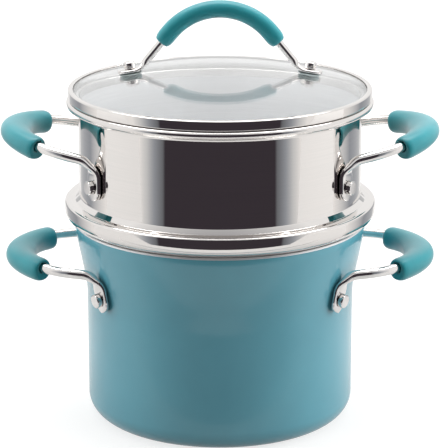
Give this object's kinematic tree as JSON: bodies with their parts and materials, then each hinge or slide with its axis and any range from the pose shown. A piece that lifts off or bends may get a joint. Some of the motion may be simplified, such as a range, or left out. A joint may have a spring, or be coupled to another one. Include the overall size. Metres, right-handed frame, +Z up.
{
  "type": "multi-pot with steamer",
  "caption": "Enamelled stock pot with a perforated steel steamer on its rim and a domed glass lid, with steel rod handles in soft teal grips.",
  "frame": {"origin": "middle of the pot's underside, at the height of the surface it stands on", "axes": "+Z up along the pot's axis, +X towards the right-hand side handles as the picture shows it, +Y away from the viewer"},
  "size_m": [0.2888, 0.2056, 0.28],
  "materials": {
    "enamel": "gloss enamel over aluminium",
    "steel": "mirror polished stainless",
    "glass": "clear tempered",
    "silicone": "satin moulded silicone",
    "gasket": "matte translucent silicone"
  },
  "bodies": {
    "pot": {"pot_body": "enamel", "pot_left_handle_rod": "steel", "pot_left_handle_grip": "silicone", "pot_left_front_rivet": "steel", "pot_left_rear_rivet": "steel", "pot_right_handle_rod": "steel", "pot_right_handle_grip": "silicone", "pot_right_front_rivet": "steel", "pot_right_rear_rivet": "steel"},
    "steamer": {"steamer_body": "steel", "steamer_left_handle_rod": "steel", "steamer_left_handle_grip": "silicone", "steamer_left_front_rivet": "steel", "steamer_left_rear_rivet": "steel", "steamer_right_handle_rod": "steel", "steamer_right_handle_grip": "silicone", "steamer_right_front_rivet": "steel", "steamer_right_rear_rivet": "steel"},
    "lid": {"lid_glass": "glass", "lid_rim_band": "steel", "lid_handle_rod": "steel", "lid_handle_grip": "silicone", "lid_left_bolt": "steel", "lid_left_gasket": "gasket", "lid_left_washer": "gasket", "lid_left_nut": "steel", "lid_right_bolt": "steel", "lid_right_gasket": "gasket", "lid_right_washer": "gasket", "lid_right_nut": "steel"}
  },
  "joints": [
    {"name": "steamer_lift", "type": "slide", "parent": "pot", "child": "steamer", "axis": [0, 0, 1], "range_m": [0, 0.15]},
    {"name": "lid_lift", "type": "slide", "parent": "steamer", "child": "lid", "axis": [0, 0, 1], "range_m": [0, 0.12]}
  ]
}
